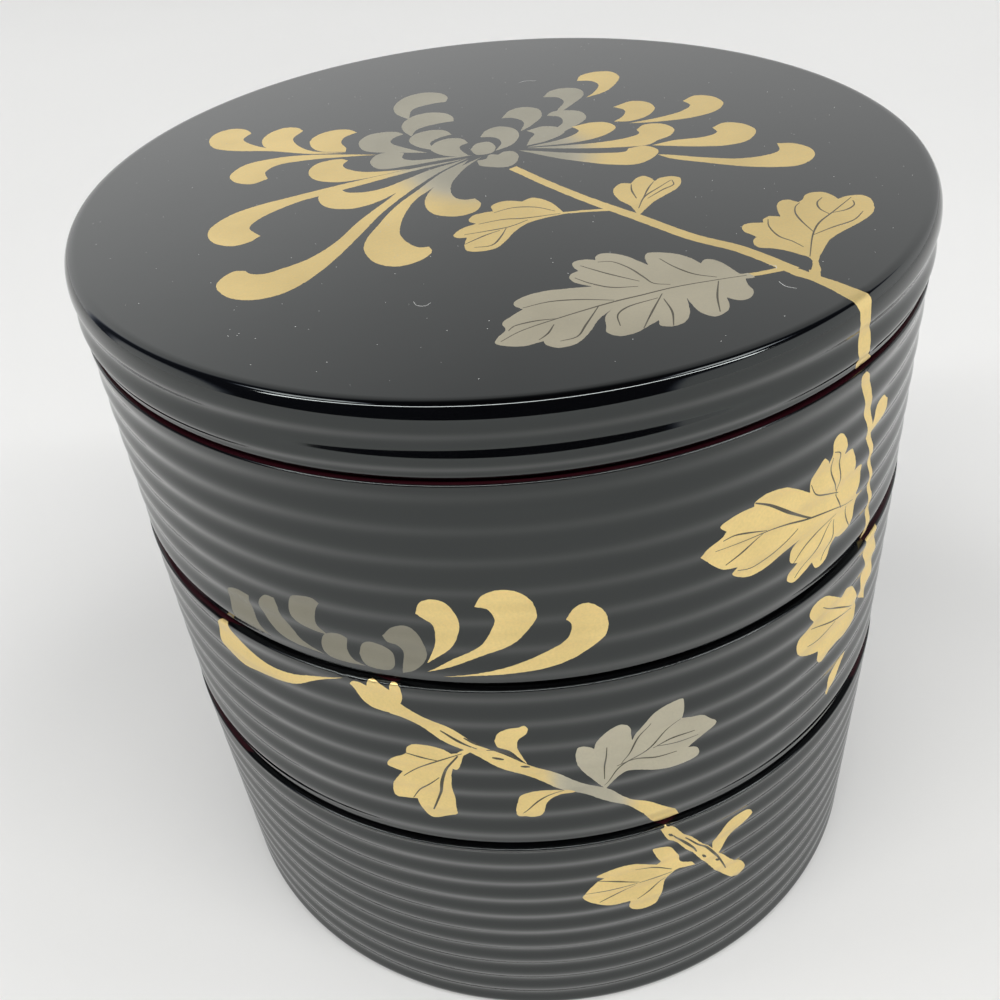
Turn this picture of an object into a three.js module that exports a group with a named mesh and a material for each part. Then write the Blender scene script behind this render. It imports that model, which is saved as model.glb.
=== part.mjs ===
// A round stacking box in black lacquer: three ribbed tiers, one on the other, under a flat ribbed lid.
// Millimetres, +Z up. The origin is the centre of the underside of the bottom tier, which stands on it.
// Every piece is a turned body, hollow and open, so each is one closed profile revolved about Z.
import * as THREE from "three";

// Overall sizes
const RIM_R = 97.5; // widest radius of a tier, at its rim
const LID_R = 98; // widest radius of the lid
const SEAT_GAP = 0.3; // clear height between a piece and the rim that it rests on

// Walls and floors
const INNER_R = 93; // inside radius at the rim
const FLOOR = 4.5; // thickness of a tier's floor
const FLOOR_FILLET = 3; // hollow corner between floor and wall
const RIM_ROUND = 0.4; // rounding of the rim's outer corner
const RIM_ROUND_INSIDE = 0.6;

// Ribs, soft waves turned round the wall
const RIB_DEPTH = 0.55; // from ridge to valley on a tier
const LID_RIB_DEPTH = 0.8;

// The ring under the lid and the upper tiers that drops into the tier below
const FOOT_R = 92.6;
const FOOT_WIDTH = 4;
const FOOT_DROP = 4; // how far it reaches below the seat
const FOOT_RECESS = 3.2; // depth of the hollow inside the ring

// Lower outer edge of the pieces that are stacked
const LOWER_EDGE_IN = 2;
const LOWER_EDGE_UP = 1.9;

// Lid
const LID_HEIGHT = 16.6; // from its seat to its flat top
const LID_TOP = 4; // thickness of the top plate
const LID_EDGE = [[3.4, 0], [1.5, 0.4], [0.8, 1.25], [0.3, 2.4], [0, 4.6]]; // in and down from the top corner
const LID_VALLEY = 7.8; // depth of the hollow below the edge
const LID_RIDGE = 11.7;

// Tiers from the top down: first is the depth of the first ridge below the rim
const UPPER = { name: "upper_tier", height: 52.7, first: 1.1, pitch: 7.66, ridges: 7, draft: 0.3 };
const MIDDLE = { name: "middle_tier", height: 53.7, first: 0.9, pitch: 7.7, ridges: 7, draft: 0.3 };
const BOTTOM = { name: "bottom_tier", height: 73, first: 5.5, pitch: 7.28, ridges: 10, draft: 1.7 };

// Underside of the bottom tier
const BASE_ROUND = 2.4; // rounding of its lowest outer edge
const BASE_RING_WIDTH = 7; // flat ring that it stands on
const BASE_RECESS = 1.5;
const BASE_FLOOR = 5; // height of its floor's upper face

const SEGMENTS = 48;

const BLACK_LACQUER = { color: 0x0b0b0c, roughness: 0.12, metalness: 0 };

// Points of a quarter ellipse that starts level at (r, z) and ends upright, down and outwards of it.
function roundedShoulder(r, z, out, down, steps) {
  const points = [];
  for (let i = 0; i <= steps; i++) {
    const turn = (i / steps) * (Math.PI / 2);
    points.push([r + out * Math.sin(turn), z - down * (1 - Math.cos(turn))]);
  }
  return points;
}

// Radius of a tier's ribbed wall at a depth below its rim.
function wallRadius(tier, depth) {
  const wave = 0.5 - 0.5 * Math.cos((2 * Math.PI * (depth - tier.first)) / tier.pitch);
  return RIM_R - (tier.draft * depth) / tier.height - RIB_DEPTH * wave;
}

// Ridges and valleys of a tier's wall, from the rim down to the deepest one above a given depth.
function ribs(tier, deepest) {
  const points = [];
  const step = tier.pitch / 2;
  const start = tier.first > step ? tier.first - step : tier.first;
  const last = tier.first + (tier.ridges - 1) * tier.pitch + step;
  for (let depth = start; depth <= last + 0.01; depth += step) {
    if (depth > RIM_ROUND && depth < deepest) points.push([wallRadius(tier, depth), tier.height - depth]);
  }
  return points;
}

// Inside of a tier from the centre of its floor up to its rim, and over the rim to the outside.
function hollow(tier, floor) {
  const low = INNER_R - tier.draft;
  return [
    [0, floor],
    [low - FLOOR_FILLET, floor],
    [low - FLOOR_FILLET * 0.29, floor + FLOOR_FILLET * 0.29],
    [low, floor + FLOOR_FILLET],
    [INNER_R, tier.height - RIM_ROUND_INSIDE],
    [INNER_R + RIM_ROUND_INSIDE, tier.height],
    ...roundedShoulder(RIM_R - RIM_ROUND, tier.height, RIM_ROUND, RIM_ROUND, 2),
  ];
}

// Lower outer edge, seat and ring of a piece whose wall comes down at radius r, with z = 0 at the seat.
function seatAndRing(r, underside) {
  return [
    [r, SEAT_GAP + LOWER_EDGE_UP],
    [r - LOWER_EDGE_IN * 0.35, SEAT_GAP + LOWER_EDGE_UP * 0.3],
    [r - LOWER_EDGE_IN, SEAT_GAP],
    [FOOT_R, SEAT_GAP],
    [FOOT_R, -FOOT_DROP],
    [FOOT_R - FOOT_WIDTH, -FOOT_DROP],
    [FOOT_R - FOOT_WIDTH, underside],
    [0, underside],
  ];
}

function stackedTierProfile(tier) {
  const underside = FOOT_RECESS - FOOT_DROP;
  const wallEnd = tier.height - SEAT_GAP - LOWER_EDGE_UP;
  return [
    ...hollow(tier, underside + FLOOR),
    ...ribs(tier, wallEnd - 0.5),
    ...seatAndRing(wallRadius(tier, wallEnd), underside),
  ];
}

function bottomTierProfile(tier) {
  const r = RIM_R - tier.draft;
  const ringInside = r - BASE_ROUND - BASE_RING_WIDTH;
  const corner = roundedShoulder(r - BASE_ROUND, 0, BASE_ROUND, -BASE_ROUND, 3).reverse();
  return [
    ...hollow(tier, BASE_FLOOR),
    ...ribs(tier, tier.height - BASE_ROUND - 0.5),
    ...corner,
    [ringInside, 0],
    [ringInside - BASE_RECESS, BASE_RECESS],
    [0, BASE_RECESS],
  ];
}

function lidProfile() {
  const top = LID_HEIGHT;
  const inside = LID_HEIGHT - LID_TOP;
  return [
    [0, top],
    ...LID_EDGE.map(([inward, down]) => [LID_R - inward, top - down]),
    [LID_R - LID_RIB_DEPTH, top - LID_VALLEY],
    [LID_R, top - LID_RIDGE],
    ...seatAndRing(LID_R - LID_RIB_DEPTH, inside),
  ];
}

// A profile of [radius, height] points that starts and ends on the axis, revolved into a named mesh.
function turned(name, profile, seat) {
  const points = profile.map(([r, z]) => new THREE.Vector2(r, z)).reverse();
  const geometry = new THREE.LatheGeometry(points, SEGMENTS);
  geometry.rotateX(Math.PI / 2);
  const mesh = new THREE.Mesh(geometry, new THREE.MeshStandardMaterial(BLACK_LACQUER));
  mesh.name = name;
  mesh.position.z = seat;
  return mesh;
}

const middleSeat = BOTTOM.height;
const upperSeat = middleSeat + MIDDLE.height;
const lidSeat = upperSeat + UPPER.height;

const box = new THREE.Group();
box.add(turned(BOTTOM.name, bottomTierProfile(BOTTOM), 0));
box.add(turned(MIDDLE.name, stackedTierProfile(MIDDLE), middleSeat));
box.add(turned(UPPER.name, stackedTierProfile(UPPER), upperSeat));
box.add(turned("lid", lidProfile(), lidSeat));

export default box;
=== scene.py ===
"""Round stacking box of a lid and three ribbed tiers, in black lacquer, painted in gold and silver powder."""
import math
import random
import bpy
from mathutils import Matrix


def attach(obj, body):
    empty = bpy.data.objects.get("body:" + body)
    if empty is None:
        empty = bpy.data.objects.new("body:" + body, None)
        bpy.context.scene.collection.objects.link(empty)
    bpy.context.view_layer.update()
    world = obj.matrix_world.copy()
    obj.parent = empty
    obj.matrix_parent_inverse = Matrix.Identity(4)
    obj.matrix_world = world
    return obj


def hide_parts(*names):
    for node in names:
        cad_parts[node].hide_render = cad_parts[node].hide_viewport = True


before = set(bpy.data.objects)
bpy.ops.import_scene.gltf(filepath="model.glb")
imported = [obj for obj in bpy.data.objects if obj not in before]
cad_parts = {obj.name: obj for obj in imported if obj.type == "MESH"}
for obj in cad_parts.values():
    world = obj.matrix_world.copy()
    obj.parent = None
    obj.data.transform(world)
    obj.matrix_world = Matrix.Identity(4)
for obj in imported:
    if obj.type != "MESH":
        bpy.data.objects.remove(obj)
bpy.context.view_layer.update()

from types import SimpleNamespace

import bpy
import numpy as np
from bpy.props import FloatProperty, FloatVectorProperty, PointerProperty
from mathutils import Matrix, Vector, noise
from mathutils.geometry import delaunay_2d_cdt

bl_info = {
    "name": "Lacquer stacking box",
    "version": (1, 0, 0),
    "blender": (4, 5, 0),
    "location": "3D View > Sidebar > Stacking Box",
    "description": "Round box of a lid and three ribbed tiers with a painted chrysanthemum spray",
    "category": "Add Mesh",
}

MM = 0.001
FRONT = -math.pi / 2  # direction of the painted front

# Steps of the meshes
COLUMNS = 256  # steps round every turned surface
FRONT_COLUMN = COLUMNS * 3 // 4  # the one in the direction of the front
PAINTED_COLUMNS = (-36, 41)  # painted stretch of the tiers, in columns from the front
ROUND_STEPS = 8  # steps of a rounded outer edge

# Sizes from here on are in millimetres.
SECTION_STEP = 0.1  # between the points of a wall's half section
ROW = 0.64  # height of a row of faces on a tier's wall
LID_ROW = 0.5
LID_GRID = 3.0  # sides of the triangles on the lid's flat top
TRIANGLE_HEIGHT = 0.866  # as a share of the side

# Ribs of the tiers from the rim down: depth of the first ridge, pitch, and taper to the foot
RIBS = {
    "upper_tier": SimpleNamespace(first=1.1, pitch=7.66, draft=0.3),
    "middle_tier": SimpleNamespace(first=0.9, pitch=7.7, draft=0.3),
    "bottom_tier": SimpleNamespace(first=5.5, pitch=7.28, draft=1.7),
}

# Insides, and the ring under a stacked piece that drops into the tier below
INNER_FILLET = 3.0  # hollow corner between floor and wall
INNER_LIP = 0.6  # rounding of a rim's inner edge
FLOOR = (-0.8, 3.7)  # underside and top of a stacked tier's floor, above its seat
RING_R = 92.6
RING_WIDTH = 4.0
RING_DROP = 4.0

# Foot of the bottom tier
BASE_FLOOR = 5.0  # height of the top of its floor
BASE_ROUND = 2.4
BASE_RING_WIDTH = 7.0
BASE_RECESS = 1.5

# Lid, by depths below its top. The points of the rounded edge lie in and down from its corner.
LID_EDGE = ((3.4, 0), (2.5, 0.06), (1.5, 0.4), (0.8, 1.25), (0.3, 2.4), (0, 4.6))
EDGE_ROWS = (0.0, 0.03, 0.08, 0.16, 0.27, 0.42, 0.6, 0.85, 1.15, 1.5, 1.95, 2.45, 3.0, 3.5, 4.0, 4.6)
LID_VALLEY = 7.8
LID_RIDGE = 11.7
LID_THICKNESS = 4.0
LID_FLAT = 94.6  # radius of the flat top

# Painting. The tones of the powder go from gold at 0 to the dullest silver at 1.
GOLD = 0.0
PALE_SILVER = 0.5
DIM_SILVER = 0.62
SILVER = 0.75
DULL_SILVER = 1.0
HEART = (0.0, 6.0)  # middle of the flower on the lid
HEART_FADE = (14.0, 28.0)  # radii where its silver starts to fade and where all is gold
LAYOUT_R = 97.5  # radius at which the painting's arc lengths are measured
BRUSH_WAVES = 1.6  # unevenness of a brushed edge, in waves a millimetre
BRUSH_LAYER = 3.0  # layer of the noise that moves it
BRUSH_SEED = 7
LINE_WIDTH = 0.42
LINE_ENDS = 0.45  # share of its width that a drawn line has at its ends

# Finishes by what the meshes call them
FINISHES = {
    "black": "Black lacquer",
    "red": "Dark red lacquer",
    "powder": "Gold and silver powder",
    "line": "Drawn line",
    "dust": "Dust",
}
LINE_COLOUR = (0.06, 0.045, 0.02)
DUST_COLOUR = (0.7, 0.7, 0.68)


def length_value(name, description, default):
    """A length that a user can change, in metres."""
    return FloatProperty(name=name, description=description, default=default, unit="LENGTH", precision=5)


def colour_value(name, description, default):
    """A colour that a user can change."""
    return FloatVectorProperty(name=name, description=description, default=default, subtype="COLOR")


class BoxSizes(bpy.types.PropertyGroup):
    """Sizes of the turned pieces."""

    rim_radius: length_value("Rim radius", "Widest radius of a tier", 0.0975)
    lid_radius: length_value("Lid radius", "Widest radius of the lid", 0.098)
    inside_radius: length_value("Inside radius", "Inside radius at the rim", 0.093)
    lid_height: length_value("Lid height", "From the lid's seat to its top", 0.0166)
    upper_height: length_value("Upper tier", "Height of the upper tier", 0.0527)
    middle_height: length_value("Middle tier", "Height of the middle tier", 0.0537)
    bottom_height: length_value("Bottom tier", "Height of the bottom tier", 0.0730)
    rib_depth: length_value("Rib depth", "From ridge to valley on a tier", 0.00055)
    lid_rib_depth: length_value("Lid rib depth", "From ridge to valley on the lid", 0.0008)
    rim_round: length_value("Rim rounding", "Rounding of a rim's outer edge", 0.0004)
    edge_in: length_value("Lower edge in", "Inset of a lower edge", 0.0020)
    edge_up: length_value("Lower edge up", "Height of a lower edge", 0.0019)
    seat_gap: length_value("Seat gap", "Clear height over a rim", 0.0003)


class BoxColours(bpy.types.PropertyGroup):
    """Colours of the lacquer, the painting and the floor."""

    black: colour_value("Black lacquer", "Body colour", (0.0022, 0.0022, 0.0026))
    red: colour_value("Dark red lacquer", "Rims and insides", (0.036, 0.006, 0.01))
    gold: colour_value("Gold powder", "Most of the painting", (0.9, 0.70, 0.315))
    silver: colour_value("Silver powder", "Flower hearts and some leaves", (0.50, 0.475, 0.38))
    floor: colour_value("Floor", "Pale floor", (0.85, 0.845, 0.825))


def in_mm(sizes):
    """The sizes as plain numbers in millimetres."""
    return SimpleNamespace(**{name: getattr(sizes, name) / MM for name in sizes.__annotations__})


def swing(t):
    """Half a cosine wave, from 0 at t = 0 to 1 at t = 1."""
    return 0.5 - 0.5 * math.cos(math.pi * t)


def fade(value, start, stop):
    """Smooth change from 0 at start and before it to 1 at stop and after it."""
    return swing(min(1.0, max(0.0, (value - start) / (stop - start))))


# Half sections of the turned pieces


class Run:
    """A smooth stretch of a half section: (radius, height) points with the outward normal at each."""

    def __init__(self, points, finish):
        self.points = np.array(points, float)
        self.finish = finish
        along = np.gradient(self.points, axis=0)
        along /= np.linalg.norm(along, axis=1)[:, None]
        self.normals = np.column_stack([-along[:, 1], along[:, 0]])

    def at_height(self, height):
        """Radius and normal where a run that goes down all the way passes a height."""
        heights = -self.points[:, 1]
        values = [self.points[:, 0], self.normals[:, 0], self.normals[:, 1]]
        radius, out, up = (float(np.interp(-height, heights, column)) for column in values)
        size = math.hypot(out, up)
        return radius, out / size, up / size


def straight(finish, *points):
    """Straight runs from point to point, with a sharp corner at each."""
    return [Run([a, b], finish) for a, b in zip(points, points[1:])]


def quarter(r, z, out, down, steps=ROUND_STEPS):
    """Quarter ellipse that starts level at (r, z) and ends upright, out and down of it."""
    turns = np.linspace(0, math.pi / 2, steps + 1)
    return [(r + out * math.sin(t), z - down * (1 - math.cos(t))) for t in turns]


def tuck(r, z, inward, down, steps=ROUND_STEPS):
    """Quarter ellipse that starts upright at (r, z) and ends level, in and down of it."""
    turns = np.linspace(0, math.pi / 2, steps + 1)
    return [(r - inward * (1 - math.cos(t)), z - down * math.sin(t)) for t in turns]


def wall_radius(size, tier, height, depth):
    """Radius of a tier's ribbed wall at a depth below its rim."""
    half = tier.pitch / 2
    knee = tier.first - half  # depth of the hollow above the first ridge, if there is room for one
    if depth < knee:
        wave = swing((depth - size.rim_round) / (knee - size.rim_round))
    elif knee <= 0 and depth < tier.first:
        wave = 0.0
    else:
        wave = swing((depth - tier.first) / half)
    return size.rim_radius - tier.draft * depth / height - size.rib_depth * wave


def seat_and_ring(size, r, underside):
    """Runs from the lower outer edge at radius r inwards, over the ring and to the middle."""
    gap = size.seat_gap
    inner = RING_R - RING_WIDTH
    return [
        *straight("black", (r, gap), (RING_R, gap), (RING_R, -RING_DROP), (inner, -RING_DROP)),
        *straight("red", (inner, -RING_DROP), (inner, underside), (0, underside)),
    ]


def tier_section(size, name, height, stacked):
    """Runs of a tier before its painted wall, the wall itself, and the runs after it."""
    tier = RIBS[name]
    underside, floor = FLOOR if stacked else (BASE_RECESS, BASE_FLOOR)
    rim = size.rim_radius - size.rim_round
    inner, low = size.inside_radius, size.inside_radius - tier.draft
    before = [
        *straight("red", (0, floor), (low - INNER_FILLET, floor)),
        Run(quarter(low - INNER_FILLET, floor, INNER_FILLET, -INNER_FILLET, 6), "red"),
        *straight("red", (low, floor + INNER_FILLET), (inner, height - INNER_LIP)),
        Run(tuck(inner, height - INNER_LIP, -INNER_LIP, -INNER_LIP, 4), "red"),
        *straight("red", (inner + INNER_LIP, height), (rim, height)),
    ]
    wall = quarter(rim, height, wall_radius(size, tier, height, size.rim_round) - rim, size.rim_round)
    end = height - (size.seat_gap + size.edge_up if stacked else BASE_ROUND)
    rows = max(2, round((end - size.rim_round) / SECTION_STEP))
    depths = np.linspace(size.rim_round, end, rows + 1)[1:]
    wall += [(wall_radius(size, tier, height, d), height - d) for d in depths]
    r, z = wall[-1]
    if stacked:
        wall += tuck(r, z, size.edge_in, size.edge_up)[1:]
        return before, Run(wall, "black"), seat_and_ring(size, r - size.edge_in, underside)
    foot = r - BASE_ROUND
    hollow = foot - BASE_RING_WIDTH
    after = [
        Run(tuck(r, z, BASE_ROUND, BASE_ROUND), "black"),
        *straight("black", (foot, 0), (hollow, 0), (hollow - BASE_RECESS, underside), (0, underside)),
    ]
    return before, Run(wall, "black"), after


def lid_section(size):
    """The lid's rounded edge and ribbed side, which goes down from the flat top, and the runs after it."""
    top = size.lid_height
    edge_end = LID_EDGE[-1][1]
    mirrored = (LID_EDGE[-2][0], 2 * edge_end - LID_EDGE[-2][1])
    edge = [p for p in curve([*LID_EDGE, mirrored], SECTION_STEP) if p[1] < edge_end - 1e-6]
    wall = [(size.lid_radius - inward, top - down) for inward, down in [*edge, LID_EDGE[-1]]]
    end = top - size.seat_gap - size.edge_up
    for depth in np.arange(edge_end + SECTION_STEP, end + SECTION_STEP / 10, SECTION_STEP):
        hollow = fade(depth, edge_end, LID_VALLEY) - fade(depth, LID_VALLEY, LID_RIDGE)
        wave = hollow + fade(depth, LID_RIDGE, end)
        wall.append((size.lid_radius - size.lid_rib_depth * wave, top - depth))
    r, z = wall[-1]
    wall += tuck(r, z, size.edge_in, size.edge_up)[1:]
    return Run(wall, "black"), seat_and_ring(size, r - size.edge_in, top - LID_THICKNESS)


# Brush work


def between(t, start, a, stop, b):
    """Value at t on the straight line from a at start to b at stop."""
    return ((stop - t) * a + (t - start) * b) / (stop - start)


def curve(points, step):
    """Points about a step apart on a smooth curve through the given points, without its last point."""
    p = np.array([2 * np.array(points[0]) - points[1], *points, 2 * np.array(points[-1]) - points[-2]], float)
    out = []
    for i in range(1, len(p) - 2):
        a, b, c, d = p[i - 1 : i + 3]
        gaps = [math.sqrt(max(1e-6, np.linalg.norm(q - o))) for o, q in ((a, b), (b, c), (c, d))]
        ta, (tb, tc, td) = 0.0, np.cumsum(gaps)
        count = max(1, round(float(np.linalg.norm(c - b)) / step))
        for k in range(count):
            t = tb + (tc - tb) * k / count
            bc = between(t, tb, b, tc, c)
            abc = between(t, ta, between(t, ta, a, tb, b), tc, bc)
            bcd = between(t, tb, bc, td, between(t, tc, c, td, d))
            out.append(between(t, tb, abc, tc, bcd))
    return out


def brushed(points, ragged=0.11):
    """The points moved a little to and fro, as a brush leaves an edge."""
    moved = []
    for x, y in points:
        shift = noise.noise_vector(Vector((x * BRUSH_WAVES, y * BRUSH_WAVES, BRUSH_LAYER)))
        moved.append((x + ragged * shift.x, y + ragged * shift.y))
    return moved


def outline(lobes, step=0.6):
    """Closed outline of smooth lobes. Each lobe starts at a corner and ends where the next one starts."""
    points = []
    for lobe, following in zip(lobes, lobes[1:] + lobes[:1]):
        points += curve([*lobe, following[0]], step)
    return brushed(points)


def stroke(points, start, end, middle=None, step=0.9):
    """Outline of a brush stroke along the points, by its width at the start, at the end and in the middle."""
    centre = np.array(curve(points, step) + [np.array(points[-1], float)])
    along = np.gradient(centre, axis=0)
    along /= np.linalg.norm(along, axis=1)[:, None]
    side = np.column_stack([-along[:, 1], along[:, 0]])
    middle = (start + end) / 2 if middle is None else middle
    t = np.linspace(0, 1, len(centre))
    half = np.interp(t, [0, 0.5, 1], [start, middle, end])[:, None] / 2
    return [tuple(q) for q in centre + side * half] + [tuple(q) for q in (centre - side * half)[::-1]]


def to_heart(x, y):
    """Gold that turns to silver towards the heart of the flower on the lid."""
    silver_r, gold_r = HEART_FADE
    return SILVER * fade(math.hypot(x - HEART[0], y - HEART[1]), gold_r, silver_r)


def along_stem(u, y):
    """Gold that is half silver in the middle of the stem on the middle tier."""
    return 0.7 * fade(u, -2, 6) * fade(u, 22, 14)


def painted_shape(outline, finish, tone=GOLD):
    """A shape of the painting, of one tone or of a tone that depends on the place."""
    return SimpleNamespace(outline=outline, finish=finish, tone=tone)


def tone_at(shape, place):
    """Tone of a painted shape at a place in the layout."""
    return shape.tone(place.x, place.y) if callable(shape.tone) else shape.tone


def area(tone, *lobes):
    """A painted area inside an outline of lobes."""
    return painted_shape(outline(lobes), "powder", tone)


def stem(tone, points, start, end, middle=None):
    """A painted stroke with ragged edges."""
    return painted_shape(brushed(stroke(points, start, end, middle), ragged=0.16), "powder", tone)


def lines(*paths, width=LINE_WIDTH):
    """Dark lines drawn in the powder, thin at both ends."""
    ends = width * LINE_ENDS
    return [painted_shape(stroke(path, ends, ends, width), "line") for path in paths]


def fibres(*paths):
    """Fine curled fibres of dust."""
    strands = [stroke(path, start=0.08, end=0.08, middle=0.14, step=0.5) for path in paths]
    return [painted_shape(strand, "dust") for strand in strands]


def specks(count, seed, reach):
    """Grains of dust with five corners, strewn at random over a disc."""
    strewn = random.Random(seed)
    found = []
    for _ in range(count):
        away, angle = reach * math.sqrt(strewn.random()), strewn.uniform(0, 2 * math.pi)
        x, y = away * math.cos(angle), away * math.sin(angle)
        size = strewn.uniform(0.06, 0.15)
        corners = [(x + size * math.cos(t), y + 0.8 * size * math.sin(t)) for t in (0, 1.3, 2.5, 3.8, 5)]
        found.append(painted_shape(corners, "dust"))
    return found


def over_edge(*places):
    """Places in the lid's layout of points on its side, given by arc length from the front and height."""
    found = []
    for u, z in places:
        angle = FRONT + u / LAYOUT_R
        found.append(((LID_FLAT - z) * math.cos(angle), (LID_FLAT - z) * math.sin(angle)))
    return found


# The painting, by places in a flat layout of each piece. The lid's layout is its plan, with the side spread
# out round the flat top. A tier's is arc length to the right from the front by height above the lid's top.


def left_petals():
    """Petals left of the heart: the edge round the head to the tip of the hook, then the edge back."""
    return [
        area(to_heart,
            [(-36, 18), (-45, 19.5), (-55, 23.5), (-65, 26), (-70, 29), (-72, 35), (-70.5, 39.5),
             (-67, 41.3), (-63.5, 40)], [(-61.5, 37), (-63, 33), (-58, 27), (-45, 21)]),
        area(to_heart,
            [(-36, 18), (-45, 20.5), (-51, 22.5), (-56, 25.5), (-58, 31), (-56.5, 36), (-53, 38.7),
             (-49.8, 38)], [(-48, 35.5), (-50, 30), (-45, 21.5)]),
        area(to_heart, [(-36, 18.5), (-43, 21), (-45.5, 27.5), (-43.5, 32), (-39.5, 34), (-36, 33.3)],
            [(-34, 31), (-36.8, 28.5), (-37.5, 25), (-36, 21)]),
        area(SILVER, [(-16, 13.5), (-22, 15), (-31, 18), (-33, 24), (-31, 28.3), (-27.5, 29.5), (-24, 29)],
            [(-22, 27), (-24.5, 24.8), (-25, 22), (-21, 17.5)]),
        area(SILVER, [(-21, 37), (-24.5, 42), (-25, 48), (-22, 54), (-17, 56), (-12.5, 54), (-11, 50.5)],
            [(-11.5, 47.5), (-15, 47), (-20, 44)]),
        area(SILVER,
            [(-20, 25), (-22.2, 29.5), (-22.5, 34), (-20, 38.8), (-16, 40.5), (-12, 39.3), (-9.7, 36)],
            [(-9.5, 33), (-14, 32), (-18.5, 29.5)]),
        area(SILVER,
            [(-11, 13), (-13, 14), (-18, 17.5), (-20.5, 22), (-19, 26.3), (-15.5, 28), (-12, 27.3)],
            [(-10, 24), (-13, 22.5), (-15.3, 19.5), (-14, 16)]),
        area(SILVER,
            [(-6, 9.5), (-8.5, 9.5), (-12, 11), (-15, 15), (-14, 19.5), (-10.5, 21.5), (-7.5, 20.5)],
            [(-6, 17.5), (-7.8, 16), (-8, 14)]),
        area(SILVER, [(-5, 9.5), (-12, 8.3), (-20, 6.5), (-27, 6), (-29.5, 10.5), (-28, 15), (-24.5, 16)],
            [(-21.5, 14.5), (-21.8, 11.5), (-19.5, 9.7), (-12, 9.6)]),
        area(to_heart,
            [(-28, 15), (-36, 17), (-45, 18.7), (-52, 18.7), (-60, 16), (-63, 9.7), (-61, 5.5), (-57, 3.8)],
            [(-53.5, 6), (-54.5, 10.5), (-52, 14), (-45, 15.5), (-36, 15.5)]),
        area(to_heart,
            [(-20, 4.5), (-26, 2.5), (-32, 0.8), (-37, 0.5), (-42, 3), (-44, 8), (-42.5, 12.5), (-39, 14.2),
             (-36.5, 14.2)], [(-35, 13), (-36, 10.5), (-35, 8), (-31, 5.3), (-26, 4.5)]),
        area(to_heart,
            [(-6, 8), (-15, 5.8), (-25, 2.7), (-34, -0.5), (-45, -5), (-55, -9.5), (-60, -13.5),
             (-63.2, -20), (-61.5, -26), (-57, -28.8), (-53.5, -27.7)],
            [(-51.3, -25), (-54.2, -20.5), (-52.5, -16), (-45, -9), (-40, -6.5), (-30, -2), (-20, 2.7)]),
        area(to_heart,
            [(-7, 7), (-17, -2), (-23, -9), (-28, -13.5), (-33, -15), (-38, -13), (-40.3, -8), (-39.5, -4),
             (-37.5, -2.6)], [(-35.3, -4), (-34, -5.8), (-30, -6.6), (-26, -5.5), (-20, -1), (-15, 3)]),
        area(to_heart,
            [(-6, 8), (-12, 2), (-18, -6), (-25, -18), (-30, -30), (-33, -37), (-36, -43), (-40, -49),
             (-44, -52.5), (-49, -53.8), (-54, -52), (-57.3, -47), (-56.8, -43.5), (-54.5, -40.7)],
            [(-52.3, -41), (-51, -42.5), (-48, -43), (-45, -41.5), (-40, -38.3), (-35, -32), (-30, -21.5),
             (-25, -13), (-20, -4.5), (-12, 4)]),
        area(to_heart,
            [(-6, 7), (-12, 1), (-18, -8.5), (-22.5, -16), (-26, -25), (-28, -31), (-28.3, -36),
             (-25.5, -42.5), (-21, -44.8), (-16.5, -43), (-14.2, -39.5)],
            [(-14.8, -37.2), (-17, -37), (-19.5, -34), (-21, -30), (-21, -25), (-20, -19), (-18, -13),
             (-14, -7), (-8, 3)]),
        area(to_heart,
            [(-3, 8), (-10, 1), (-14, -7), (-15.5, -11), (-16, -16), (-14, -21.5), (-9, -23.7), (-5, -22),
             (-3.7, -18)], [(-5, -15.3), (-7, -15.5), (-9, -14.3), (-10.2, -11), (-10, -6), (-7, 2)]),
    ]


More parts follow.
